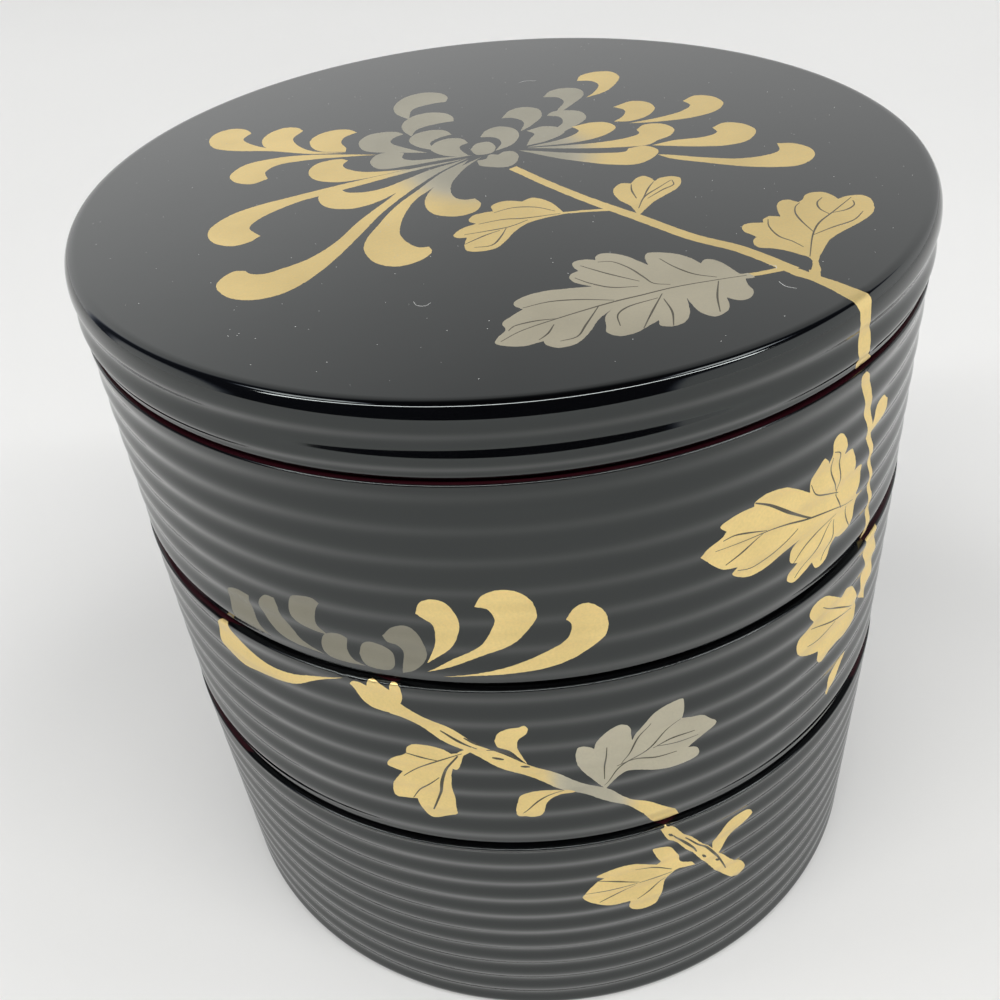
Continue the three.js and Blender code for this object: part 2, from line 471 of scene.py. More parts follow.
def right_petals():
    """Petals right of the heart."""
    return [
        area(SILVER, [(0.5, 11), (4.5, 14), (6.5, 20), (5, 24.8), (1.5, 26.5), (-1.5, 24.5)],
            [(-3, 20.5), (0.5, 19.5), (2, 16)]),
        area(SILVER, [(7, 22), (9.5, 25), (12.7, 31), (12, 36.5), (8.5, 38.5), (5, 37)],
            [(2.7, 32), (5.5, 31.5), (8, 28)]),
        area(SILVER, [(15.5, 30), (20, 36), (24.5, 44), (23.5, 48.5), (19.5, 50), (16, 48.5)],
            [(14, 44.5), (17.5, 43.5), (19, 40), (17, 34.5)]),
        area(GOLD, [(25, 41.5), (30, 44.5), (33.5, 50), (35, 55.5), (33, 59.8), (29, 60.5), (25, 58.5)],
            [(23.7, 54.7), (27.5, 53.5), (29, 50), (27.3, 45)]),
        area(SILVER, [(10, 14), (14, 16.5), (20, 22), (23.5, 27), (22.5, 32), (18.5, 33.7), (15.5, 33.3)],
            [(14, 31), (17, 29.5), (17.5, 25), (13.5, 19.5)]),
        area(SILVER, [(8, 12.5), (13, 14.5), (17.5, 19), (16, 22.7), (12.5, 24)],
            [(8.5, 22), (10.2, 19.5), (9, 16.5)]),
        area(to_heart, [(8, 11.5), (20, 12), (27, 15), (30, 19.5), (28, 23), (24.5, 23.7)],
            [(19.5, 22), (21, 19), (18, 15.5)]),
        area(GOLD, [(30, 23), (34, 22.5), (38.5, 25), (41, 30), (39.5, 34.5), (36, 36)],
            [(31, 33), (33.5, 30), (32.5, 26)]),
        area(GOLD, [(33.5, 21), (40, 20.5), (49, 21.3), (55.5, 24.5), (58, 29.5), (56, 34.5), (52, 36)],
            [(48.5, 33), (49.8, 29.5), (47, 26), (42, 23.5)]),
        area(to_heart,
            [(8, 11), (20, 8), (30, 6.5), (36, 6.5), (39, 9), (42, 11), (43.5, 15), (41, 19), (37, 19.3)],
            [(34.7, 16.5), (35, 14), (32, 12), (25, 10.6)]),
        area(GOLD, [(37, 6), (40, 5), (47, 3), (54, 2.2), (59, 4), (62, 10), (59.5, 14.7), (55.5, 16)],
            [(52.5, 13.5), (53, 10.5), (50, 8.5), (42, 7.8)]),
        area(to_heart, [(6, 10), (15, 3), (20, 0), (26, -3), (32, -4.2), (36, -1.5), (38, 2.8), (35.5, 6)],
            [(31.5, 5.5), (30.5, 3.7), (25, 4), (18, 5.7), (10, 8.7)]),
        area(GOLD,
            [(37.5, 0.3), (40, -2.5), (47, -6.5), (55, -10.5), (62, -12.5), (67, -12.5), (71, -9),
             (71.8, -4.5), (69, -0.3)],
            [(65, 0.8), (64.5, -3.5), (61, -5.5), (55, -6), (47, -3.5), (40, -0.4)]),
    ]


def heart():
    """Closed bud in the middle of the flower and the cup under it."""
    return [
        area(SILVER, [(-5.5, 13), (-4, 16.5), (-1, 17), (0.5, 13.5), (-0.5, 10), (-4, 9.5)]),
        area(SILVER, [(-4, 6), (-3.5, 3), (-1, 1.5), (3, 0.8), (5, 3), (5.7, 7), (4.5, 9.8), (2.5, 10)],
            [(1, 8.5), (-1, 9), (-2, 6.5)]),
    ]


def lid_leaves():
    """Stem and leaves on the lid."""
    return [
        stem(GOLD,
            [(4, 0), (12, -11.5), (20, -21.8), (28.5, -31.5), (38.5, -43.2), (46.5, -50), (54.6, -60.4)],
            2.2, 2.9, 2.6),
        area(GOLD,
            [(54.3, -58.4), (58.6, -63.5), (61.5, -66.6), (63.8, -69.4),
             *over_edge((72.9, -1), (72.2, -2.4), (72.1, -4.7))],
            over_edge((73.2, -7), (74.1, -8.6), (73.8, -10.1), (73.4, -11.3)),
            over_edge((73.8, -13.1), (75.6, -14.5)), over_edge((76.2, -15.4), (71, -15.5)),
            over_edge((70.3, -12.6), (69.5, -10.9), (69.9, -9.1), (70.2, -7.6)),
            over_edge((69, -5.4), (68.7, -3.6), (68.8, -2), (68.5, -0.9)),
            [*over_edge((68.3, -0.2)), (59.3, -68.9), (56.5, -64.7), (53.5, -61.3)]),
        stem(GOLD, [(25, -27.2), (19, -26.6), (13, -26.6)], 1.1, 0.9),
        stem(GOLD, [(46, -60.8), (49, -60.3), (53, -59.3)], 1.3, 1.6),
        stem(GOLD, [(58.2, -61), (57.5, -64)], 2.0, 2.4),
        area(GOLD, [(14, -27), (12, -22), (10, -19), (7.5, -17.5)],
            [(5.3, -19), (2, -18), (0, -18.5), (-1.5, -20)],
            [(-1.2, -22.7), (-3, -23), (-5.5, -24), (-6.5, -26.5)],
            [(-5, -28.2), (-8, -30), (-9.8, -33), (-9, -34.2)],
            [(-7, -34.5), (-7.5, -38), (-7, -40.5), (-4, -41.3), (-1, -40.3), (1, -37.5), (3, -33.5),
             (6, -30), (9, -28.5)]),
        *lines([(-1, -23.5), (3, -21.8), (8, -22.5), (12, -25.3)],
            [(-4.5, -28.5), (1, -27.2), (5, -27.5), (13, -26.7)],
            [(-7.5, -33), (-3, -32.2), (2, -31), (6, -28.5)], [(-7.5, -37.5), (-3, -34), (0, -32.3)],
            [(-5.5, -39.3), (-2, -39), (0, -35.5), (1.3, -31.5)]),
        area(GOLD, [(29, -31.2), (28, -26), (26, -22.5), (25.2, -18), (26, -15.5), (27.5, -14)],
            [(29.5, -14.5), (31, -12), (32.5, -11), (34, -12.2)],
            [(34.8, -14.4), (36, -13), (38.5, -12.5), (40.3, -13.5), (40.3, -16), (39, -19), (36, -22),
             (33, -25), (31, -28)]),
        *lines([(29.5, -27.5), (31.5, -22), (35, -18), (38.3, -14.5)],
            [(31, -23), (33, -17.5), (34.5, -14.5)], [(29.7, -22.5), (29.2, -18), (29.5, -15)],
            [(32, -23), (36, -19), (38.5, -17), (38.5, -14.5)]),
        area(GOLD,
            [(57.3, -61.5), (58.6, -58), (58.5, -55.8), (57, -54.2), (55, -52.3), (52.5, -50.8),
             (50.2, -50), (49.5, -48.5), (49.8, -46.5)],
            [(50.6, -45.5), (50, -44.3), (48.7, -42.5), (48.7, -40.5), (49.8, -39.2)],
            [(53.3, -39.2), (53.5, -38), (55, -36.6)],
            [(57.2, -37.2), (57.3, -34), (57.8, -31.5), (59, -29.8), (60.5, -29.6)],
            [(62.3, -31.2), (63.5, -30), (64.5, -28), (66.5, -27), (68.5, -27.5), (70, -29.5)],
            [(70.5, -31.3), (72.5, -30.3), (75.5, -30.3), (76.8, -32), (76.8, -35), (76, -38),
             (74.5, -40.3), (71, -43.5), (67, -46.5), (64, -49.5), (62, -53), (60, -57), (59, -62)]),
        *lines([(58.7, -55.5), (61.7, -46), (64, -41.5), (68, -37), (73.3, -31)],
            [(61.7, -46.5), (66, -44), (71, -41.5), (73.8, -38)],
            [(62, -45.5), (60.8, -40), (60.5, -36), (61.3, -33), (62.5, -31.5)],
            [(67, -38), (65.7, -35), (66, -32), (67.5, -30)],
            [(67.5, -37.5), (71, -36.5), (73, -34.5), (73.2, -32.5)],
            [(54.5, -38), (54, -41), (55, -46), (57, -48.5), (58.5, -51.3)]),
        area(PALE_SILVER,
            [(46, -59.9), (44.5, -60), (43.7, -58.5), (42.3, -55.5), (40.5, -53.3), (39, -53)],
            [(38, -54.5), (36.5, -52), (34, -49.7), (31, -48.5), (28.5, -48.3), (27.8, -50)],
            [(28, -53.3), (26.5, -51.5), (24.5, -49), (22, -47.3), (19.5, -46.8), (18.3, -48)],
            [(18.2, -49.3), (16.5, -48.8), (14, -49.3), (13.5, -51)],
            [(14.5, -53.3), (13, -54.3), (12.5, -56), (13.5, -58)],
            [(16.5, -60), (11, -60), (7, -60.3), (3.5, -61.7), (1.5, -63.5), (1.5, -65)],
            [(3, -66.5), (1, -68.5), (-1, -71), (-0.5, -73.5), (-2, -76), (-2.5, -78), (-1, -79),
             (2.5, -79.7)],
            [(6, -78.5), (6.5, -80), (8.5, -81.2), (11.5, -80.5), (14, -77.5), (16.5, -72.5)],
            [(19, -69.5), (17.8, -71.5), (17.5, -75), (17.5, -77.5), (19.5, -79), (22.5, -78.3),
             (25, -76.3)], [(27, -74.7), (27, -76.5), (29, -77.2), (31.5, -76), (32.8, -73)],
            [(33.2, -67.5), (33.7, -70), (35, -73.5), (37, -75), (39, -74), (40.2, -72)],
            [(40.3, -68.5), (42.5, -70), (44.5, -69.3), (45.5, -67), (45, -64)],
            [(45, -62), (46.8, -61.8)]),
        *lines(
            [(45.5, -60.8), (40, -61.5), (31.5, -63), (25, -65), (20, -66.5), (9, -71), (2, -74.5),
             (-1.5, -77.5)], [(40, -60.5), (36, -58.5), (32.5, -54.5), (30.5, -51)],
            [(31, -61.8), (28, -60.8), (26.5, -58), (24, -53.5), (21, -50.5), (18.5, -50.3)],
            [(25.5, -59.5), (20, -55.5), (15, -51.2)], [(25, -61.5), (20, -61), (16, -58.5), (13.5, -56)],
            [(20, -66), (14, -64.7), (8, -64.5), (3, -66)], [(9, -71), (5, -71.2), (1, -72.5), (0, -74)],
            [(17, -67.5), (14, -74), (12, -78), (9, -79)], [(8.3, -73), (7, -76), (5.3, -78)],
            [(28, -66.5), (22, -69), (20, -71.5), (20, -75.5)], [(29, -65), (26, -72), (24, -77)],
            [(29, -67), (29.8, -72), (29.3, -77)], [(40, -62), (38.7, -68), (38.2, -73.5)]),
        *fibres([(-17.5, -60), (-16.8, -61.6), (-15.2, -62), (-14.2, -61)],
            [(50.8, -64.2), (51.6, -66.2), (53.4, -67.4)], [(50.5, -57.5), (51.6, -58), (51.4, -59.2)],
            [(8, 57), (10, 58.2), (13, 57.6)]),
        *specks(count=260, seed=5, reach=92.0),
    ]


def upper_painting():
    """Flower, stem and large leaf on the upper tier."""
    return [
        area(DULL_SILVER, [(-70, -65.4), (-70.5, -62), (-70.5, -58.5), (-69, -56), (-66, -55)],
            [(-62.7, -55.2), (-63.3, -58), (-62.8, -61.5), (-60.5, -64.5)], [(-59, -65.5)]),
        area(DULL_SILVER,
            [(-45, -64.8), (-53.5, -64), (-57, -62.5), (-59.3, -60.5), (-60.2, -57.5), (-59.7, -55),
             (-58, -53.2)], [(-55.5, -53), (-54.7, -55), (-54, -58.5), (-51, -62), (-47, -64)]),
        area(DULL_SILVER,
            [(-43.5, -59), (-47, -58.7), (-50, -57.5), (-51.5, -55.5), (-51.5, -52.5), (-50, -50),
             (-47.5, -49), (-44.5, -48.8)], [(-43.5, -50), (-45, -52.5), (-45.2, -56)]),
        area(DULL_SILVER,
            [(-35.5, -65.5), (-42, -65.6), (-44, -64.8), (-45.3, -62), (-44.5, -59.5), (-42.5, -58),
             (-40, -57.5)], [(-38.7, -58.5), (-39.2, -61.5), (-38, -64)]),
        area(DULL_SILVER,
            [(-36.5, -62), (-35.5, -59.3), (-33.5, -58), (-31, -58.7), (-29, -60.5), (-28.8, -63.5),
             (-30.5, -65.5), (-35, -65.3)]),
        area(DULL_SILVER,
            [(-27.5, -65.8), (-25, -64.5), (-22, -61), (-21.7, -58), (-22.5, -54.5), (-25, -52.3),
             (-28, -53)], [(-30.3, -55.3), (-29.5, -57), (-27.5, -57.7), (-26.6, -60), (-27, -63)]),
        area(GOLD,
            [(-21.8, -62), (-18, -59), (-15.5, -55.5), (-14.2, -51), (-14.5, -48), (-16.5, -45.2),
             (-19, -44.5), (-21.5, -45.5)],
            [(-22.5, -48), (-21, -49.5), (-19.7, -51), (-19.3, -55), (-20.5, -59)]),
        area(GOLD,
            [(-22, -64.3), (-15, -61.7), (-9, -58.8), (-5, -56.5), (-2, -54), (0.5, -50.5), (1, -48),
             (0, -45), (-3, -42), (-6, -41.5), (-9, -43)],
            [(-10.8, -46), (-8.5, -46.5), (-7.2, -48.5), (-7.5, -51), (-9.5, -55), (-13, -58.5),
             (-17, -61)]),
        area(GOLD,
            [(-19, -65.8), (-13, -65), (-6, -64.4), (2, -63.3), (8, -61.5), (12, -59), (14.5, -55.5),
             (14.7, -52), (13, -48.5), (10.5, -47), (8, -48)],
            [(6.5, -51), (7.6, -52.5), (7, -55), (5, -57.3), (1, -60), (-4, -62), (-10, -63.7)]),
        area(GOLD, [(73.2, -19), (73, -17.9), (74.1, -17.4), (75.6, -18.3)],
            [(77.2, -20.6), (78.1, -22.6), (78.4, -24.8), (79.8, -28.7), (80.6, -32.5), (82.7, -38.6),
             (84.3, -45.2), (87.4, -56.9), (88.8, -66)], [(89, -70), (86.5, -70)],
            [(86.3, -62), (84.7, -52), (80.9, -38.8), (77.8, -30.7), (75.8, -25.3), (74.9, -22.2)]),
        area(GOLD, [(80, -37), (79.8, -35.5), (81, -33), (83, -30), (86, -29.3)],
            [(88, -31), (86.5, -34), (83, -35.5)]),
        area(GOLD, [(33.8, -42.8), (35.5, -44.8), (37, -46.3), (39, -47.8)],
            [(42.3, -48.7), (41.3, -50.2), (43, -52), (46, -53.2), (50, -53), (55, -51.5)],
            [(59, -50.3), (57.3, -52), (56.6, -55)],
            [(58.8, -56.3), (57, -58.5), (56.8, -60.5), (58.5, -61.8), (61, -61.3), (63.5, -60.5)],
            [(64.5, -60), (65.5, -62), (67.5, -62.3), (70, -61), (71, -58)],
            [(71.5, -57), (74, -58.5), (77, -58)], [(77.5, -56.5), (78.5, -54), (80, -51.5)],
            [(82, -51), (78.5, -50)], [(78, -49), (79.5, -46), (79.5, -43), (77.5, -41.7)],
            [(75.8, -42), (75.5, -38), (74, -35.5)],
            [(71.2, -35.3), (71, -32), (70, -29.8), (68.3, -29), (66.8, -30), (66.3, -32)],
            [(65.5, -34.5), (65, -33.5), (63.7, -32.2), (62, -33.5), (60.8, -36)],
            [(60.5, -39), (57, -36.5), (53.5, -34), (50, -33), (47, -33), (45.3, -34)],
            [(45.5, -35), (43, -35), (40, -35.8), (38, -37)], [(39.3, -38.5), (38.5, -39.3), (35, -41)]),
        *lines(
            [(37, -42.5), (44, -42.8), (50, -43.2), (55, -44.3), (60, -45.8), (66, -47.2), (70, -48.3),
             (75, -50.2), (77.5, -50.8)], [(38.5, -40.3), (41, -40), (45, -41), (49.3, -42.8)],
            [(48.5, -43.2), (44, -45.5), (39.5, -47)],
            [(58, -46.8), (54, -48.5), (50, -50.2), (46, -51), (42.5, -49.8)],
            [(71, -45), (66, -42.5), (62, -40), (61, -37.5)], [(70, -44), (67.5, -39), (66.5, -33.5)],
            [(70.2, -45.5), (70, -38), (68.8, -33.5), (66.8, -32.3)], [(70, -45), (72, -49.5)],
            [(71, -50.5), (65, -52), (60, -54), (57.5, -55.8)], [(70, -51.5), (65, -56), (59, -61)],
            [(70.8, -52), (70, -57), (67.5, -61.3)], [(75, -51), (75.5, -55), (77, -57.5)]),
        *lines([(45.5, -34), (50, -37), (55, -41), (60, -45), (62, -46.3)], width=0.8),
    ]


def middle_painting():
    """Stem, bud and leaves on the middle tier, with the lowest petal of the flower above."""
    return [
        area(GOLD,
            [(-41.5, -70.3), (-50, -75), (-55, -77.8), (-60, -79.5), (-67, -81), (-73, -82), (-76.5, -81),
             (-79, -78.5), (-79.5, -74), (-78, -71), (-76, -69.2)],
            [(-74, -69), (-73.5, -70.5), (-71.5, -73.5), (-67, -75.3), (-62, -76), (-56, -75.5),
             (-50, -73.6)]),
        area(GOLD, [(-40.3, -72), (-39.5, -70.8), (-38, -70.4)],
            [(-36.2, -71.2), (-35.5, -69.2), (-34.3, -68.9), (-32.5, -70)],
            [(-31, -71.2), (-30.8, -69.5), (-29.8, -68.7), (-28.7, -69.5), (-28.5, -71.5), (-29, -74.5)],
            [(-31, -78.5), (-36, -77.5), (-38.5, -75.5)]),
        area(along_stem,
            [(-30, -75), (-20, -81), (-10, -88.5), (0, -94.7), (5, -98.5), (13, -104), (20, -110.5),
             (25, -114), (30, -118.5)], [(31, -121), (25, -121)],
            [(22, -116), (17, -111), (10, -106), (5, -103), (0, -99.3), (-10, -93), (-20, -86),
             (-29.5, -79.3)], [(-32, -78.5)]),
        *lines([(-21.5, -82.5), (-14, -87.5)], [(-16.5, -84), (-12.5, -86.5)],
            [(-12, -88), (-10, -88), (-5, -91.5)], [(-11, -90.5), (-8.5, -91)], [(-5, -93), (-3, -93.3)],
            width=0.7),
        area(GOLD, [(-10, -84.5), (-9.3, -82.8), (-7, -81.3), (-4.5, -80.8), (-3.5, -80.2)],
            [(-2.8, -81.5), (-3, -82.7), (-5, -84.5), (-5.3, -87), (-4.8, -89.5), (-3.6, -92.3)],
            [(-5.5, -90.3), (-7.3, -88), (-9.5, -86.5)]),
        stem(GOLD, [(-14.5, -87.5), (-18.2, -90)], 1.6, 1.3),
        area(GOLD, [(-17, -89.3), (-17.5, -91), (-18.5, -94), (-19.3, -95)],
            [(-20, -94.5), (-20.7, -98), (-20.7, -103), (-20.5, -108), (-20.7, -111), (-22.5, -112),
             (-26.5, -113.5), (-28, -112.5), (-29, -109)],
            [(-29.5, -107), (-32, -107.3), (-34.5, -107.5), (-35.3, -106.5), (-34.8, -103),
             (-33.5, -100.5)], [(-32, -98.3), (-35.5, -97.3), (-35.5, -96.5), (-33.5, -93.5), (-31, -92)],
            [(-30.3, -91.5), (-30, -90), (-28.5, -88.3), (-25.5, -87.7), (-22, -88.5)], [(-20, -90)]),
        *lines([(-18.5, -90.5), (-21, -94), (-22.8, -99), (-23.5, -103), (-26, -110)], width=0.8),
        *lines([(-17.5, -89.7), (-25, -93.5), (-29, -97), (-31.8, -99.5)],
            [(-23.5, -98.5), (-28, -103), (-30.5, -107)], [(-30.5, -91.3), (-26, -92), (-23, -92.3)]),
        area(GOLD,
            [(5, -102.5), (0, -101.7), (-3, -102), (-5.5, -103.5), (-6.5, -106), (-7, -109), (-6.5, -111)],
            [(-5, -111), (-3.5, -111.5), (-1.5, -110.8), (-0.7, -109), (0, -106.5), (3, -104.3),
             (6.5, -103.8)]),
        *lines([(-5.5, -109.5), (-2, -106), (2, -103.3), (4, -102.5)]),
        area(DIM_SILVER,
            [(13.3, -104.7), (11.8, -102), (10.5, -100), (8.5, -97.5), (7.2, -94), (7, -91), (7.8, -89),
             (10, -89.5)], [(11, -90.3), (12, -87), (14, -84.8), (17, -83.8), (18.7, -84.8), (19.2, -88)],
            [(19.5, -90), (21, -86.5), (24, -83.3), (27.5, -81.7), (31, -81.3), (31.3, -83.5)],
            [(30.7, -87), (33, -88), (36, -89), (38, -91), (39.5, -92.5), (37.5, -94.5), (35, -96.5)],
            [(32.8, -98), (35, -99), (35.3, -101), (34, -102), (29, -102.5), (25, -101.5), (21, -100),
             (18, -99.5), (15.5, -101)]),
        *lines([(13, -103), (16, -98.5), (22, -94.5), (27, -90), (30.5, -87.2)],
            [(13, -100.5), (13.3, -95), (13.8, -90.5)], [(17, -97), (20, -91), (23.5, -85.5)],
            [(24, -93.8), (28, -92.5), (34, -92.5)], [(25, -93.5), (30, -94.5), (35, -94.5)],
            [(16, -97.5), (20, -96.5), (25, -97.8), (30, -98)]),
        area(GOLD, [(87.8, -69), (88.5, -74), (90, -79), (89.5, -84), (89.5, -88)],
            [(94, -92), (97, -84), (96.5, -76)], [(94, -69)]),
        area(GOLD, [(88.5, -88.7), (85.4, -81.8), (82.8, -79.4), (79.7, -78)],
            [(78.5, -79.7), (74.8, -76.6), (70.6, -74), (67.1, -74.1), (65.4, -76)],
            [(67, -78.7), (65.4, -80.5), (62.8, -82), (62, -84.5), (63.6, -87.1), (66.6, -89.5)],
            [(71, -91.3), (70.5, -93.2), (71.5, -95), (73.8, -96.8)],
            [(76.3, -94.6), (79.2, -94.2), (83.4, -95.6), (86.5, -94.5)], [(89, -90.5)]),
        *lines([(70.3, -76.7), (75.7, -81.1), (81.8, -85), (86.1, -88.1)],
            [(67.2, -81.5), (74.7, -84.4), (80.2, -86.2), (86.4, -89.3)],
            [(65.7, -85.6), (69.7, -86.4), (76.6, -85.5)]),
        area(GOLD, [(77.5, -110.2), (78.1, -106.9), (80.6, -105.1), (84.3, -103.6), (86.7, -104.1)],
            [(86.3, -105.3), (82.2, -107.8), (80.3, -110.2), (79.3, -113)]),
    ]


def bottom_painting():
    """End of the stem, blade and leaf on the bottom tier."""
    return [
        area(GOLD,
            [(27.3, -122.8), (30, -125.5), (32, -128.5), (35, -132.5), (40, -139.5), (45, -147), (48, -151),
             (51.5, -155)], [(52.3, -157), (51.5, -159.5), (50.5, -160.3)],
            [(48, -158.5), (45, -155), (42, -150.5), (38, -143.5), (35, -138.5), (30, -131), (28, -128.5)],
            [(26.3, -124.5)]),
        area(GOLD, [(41, -141), (41.3, -137.5), (43, -135), (46, -133), (50, -132.5), (52, -133.3)],
            [(52.7, -134.8), (50, -136.5), (46.5, -139), (43.5, -142.5)], [(42.5, -144.3)]),
        area(GOLD, [(35, -142.2), (32, -140.5)],
            [(31.5, -138), (30.5, -135.5), (29, -133), (26.5, -132), (24.5, -131.7)],
            [(25.3, -134.5), (26.5, -137.5)],
            [(25.5, -138.5), (23, -136.5), (20, -135), (16, -134.8), (12, -135.8), (10.3, -137)],
            [(12.3, -138.8), (10.5, -140), (8, -142.5), (6.8, -145.3), (8, -147.5), (10.5, -149),
             (14, -150.3)], [(18.7, -150.3), (18.7, -154), (19.5, -155), (22.5, -155.8), (25.8, -155)],
            [(26.5, -153.5), (27.3, -149), (28.3, -145.5), (29.5, -143.5), (31, -142.7)], [(36, -144)]),
        *lines([(29.5, -143), (21, -143.3)], [(21, -143), (17, -141.5), (10.5, -139.5)],
            [(20.5, -143.3), (14, -143.6), (7.5, -143.5)], [(20, -144), (15, -146.8), (11, -148.5)],
            [(29.5, -142), (25, -139.5), (20, -137.8)], [(28, -145), (24.5, -148), (20.5, -150.3)]),
        *lines([(29.5, -128), (32, -132), (35, -136), (36.5, -139.5)],
            [(33, -131.5), (40, -140.5), (43, -146), (46, -153.5)], [(28.3, -127), (29.4, -128)],
            [(38, -141.5), (39, -142.8)], [(42.5, -147), (43.5, -148)], width=0.75),
    ]


def build_painting(name):
    """The painted shapes of a piece, those below first, with the same brushed edges each time."""
    noise.seed_set(BRUSH_SEED)
    if name == "lid":
        return left_petals() + right_petals() + heart() + lid_leaves()
    paintings = {"upper_tier": upper_painting, "middle_tier": middle_painting, "bottom_tier": bottom_painting}
    return paintings[name]()


# Meshes


class Turned:
    """Mesh of a turned piece: rings of vertices, with normals that follow the section."""

    def __init__(self):
        self.vertices = []
        self.faces = []
        self.normals = []
        self.finishes = []
        self.tones = []

    def vertex(self, r, z, angle):
        """Adds a vertex and gives its number."""
        self.vertices.append((r * math.cos(angle) * MM, r * math.sin(angle) * MM, z * MM))
        return len(self.vertices) - 1

    def ring(self, r, z):
        """Vertex numbers of a ring, or of the one vertex on the axis repeated all round."""
        if r < 1e-6:
            return [self.vertex(0, z, 0)] * COLUMNS
        return [self.vertex(r, z, 2 * math.pi * c / COLUMNS) for c in range(COLUMNS)]

    def face(self, corners, normals, finish, tones=None):
        """Adds a face, without the corners that repeat a vertex."""
        kept = [i for i in range(len(corners)) if corners[i] != corners[i - 1]]
        tones = tones or [GOLD] * len(corners)
        self.faces.append([corners[i] for i in kept])
        self.normals += [normals[i] for i in kept]
        self.tones += [tones[i] for i in kept]
        self.finishes.append(finish)

    def band(self, upper, lower, upper_normal, lower_normal, finish, columns=range(COLUMNS)):
        """Faces between two rings; each normal is its (outward, upward) parts."""
        parts = [upper_normal, lower_normal, lower_normal, upper_normal]
        for c in columns:
            n = (c + 1) % COLUMNS
            directions = [2 * math.pi * k / COLUMNS for k in (c, c, c + 1, c + 1)]
            normals = [(out * math.cos(a), out * math.sin(a), up) for a, (out, up) in zip(directions, parts)]
            self.face([upper[c], lower[c], lower[n], upper[n]], normals, finish)

    def plain(self, runs, first, last=None):
        """Faces of plain runs from a first ring to a last one, or to a new ring where none is given."""
        ring = first
        for number, run in enumerate(runs):
            for i in range(len(run.points) - 1):
                closing = last is not None and number == len(runs) - 1 and i == len(run.points) - 2
                following = last if closing else self.ring(*run.points[i + 1])
                self.band(ring, following, run.normals[i], run.normals[i + 1], run.finish)
                ring = following

    def painted(self, grid, shared, shapes, place):
        """Faces over a flat layout of grid points and painted shapes, carried onto the surface by place.

        Shared gives the vertex numbers of the grid points that lie on rings.
        """
        points = list(grid)
        outlines = []
        for shape in shapes:
            corners = list(range(len(points), len(points) + len(shape.outline)))
            points += shape.outline
            x, y = np.array(shape.outline).T
            clockwise = np.dot(x, np.roll(y, -1)) < np.dot(y, np.roll(x, -1))
            outlines.append(corners[::-1] if clockwise else corners)
        every_triangle, weld = 0, 1e-5
        flat, _, triangles, origins, _, inside = delaunay_2d_cdt(
            [Vector(p) for p in points], [], outlines, every_triangle, weld, True
        )
        numbers, normals = [], []
        for point, origin in zip(flat, origins):
            r, z, angle, out, up = place(point.x, point.y)
            known = [shared[i] for i in origin if i in shared]
            numbers.append(known[0] if known else self.vertex(r, z, angle))
            normals.append((out * math.cos(angle), out * math.sin(angle), up))
        for triangle, within in zip(triangles, inside):
            shape = shapes[max(within)] if within else None
            finish = shape.finish if shape else "black"
            tones = [tone_at(shape, flat[i]) for i in triangle] if shape else None
            self.face([numbers[i] for i in triangle], [normals[i] for i in triangle], finish, tones)

    def object(self, name, seat, colours):
        """Makes the Blender object, standing at its seat, with the finishes that its faces have."""
        mesh = bpy.data.meshes.new(name)
        mesh.from_pydata([(x, y, z + seat * MM) for x, y, z in self.vertices], [], self.faces)
        used = [key for key in FINISHES if key in self.finishes]
        for key in used:
            mesh.materials.append(shared_finish(key, colours))
        mesh.polygons.foreach_set("material_index", [used.index(key) for key in self.finishes])
        mesh.polygons.foreach_set("use_smooth", [True] * len(mesh.polygons))
        tones = mesh.attributes.new("silver", "FLOAT", "CORNER")
        tones.data.foreach_set("value", self.tones)
        mesh.validate(clean_customdata=False)
        mesh.normals_split_custom_set(self.normals)
        piece = bpy.data.objects.new(name, mesh)
        bpy.context.collection.objects.link(piece)
        return piece


def painted_wall(turned, wall, seat, shapes):
    """The outside of a tier, painted at the front, and its rings. The seat is a height in the layout."""
    first, last = PAINTED_COLUMNS
    arc = 2 * math.pi * LAYOUT_R / COLUMNS
    highest, lowest = wall.points[0][1], wall.points[-1][1]
    rim = wall.points[: ROUND_STEPS + 1, 1]
    tucks_in = abs(wall.normals[-1][1]) > 0.9
    foot = wall.points[-ROUND_STEPS - 1 :, 1] if tucks_in else wall.points[-1:, 1]
    count = max(2, round((rim[-1] - foot[0]) / ROW))
    heights = [*rim, *np.linspace(rim[-1], foot[0], count + 1)[1:], *foot[1:]]
    rows = [(h, *wall.at_height(h)) for h in heights]
    rings = [turned.ring(r, h) for h, r, _, _ in rows]
    plain = [c % COLUMNS for c in range(last + FRONT_COLUMN, first + FRONT_COLUMN + COLUMNS)]
    for i in range(len(rows) - 1):
        turned.band(rings[i], rings[i + 1], rows[i][2:], rows[i + 1][2:], "black", plain)
    grid, shared = [], {}
    for ring, height in zip(rings, heights):
        for c in range(first, last + 1):
            shared[len(grid)] = ring[(c + FRONT_COLUMN) % COLUMNS]
            grid.append((c * arc, height + seat))

    def place(u, y):
        """Radius, height, direction and normal on the wall of a place in the layout."""
        r, out, up = wall.at_height(min(highest, max(lowest, y - seat)))
        return r, y - seat, FRONT + u / LAYOUT_R, out, up

    turned.painted(grid, shared, shapes, place)
    return rings


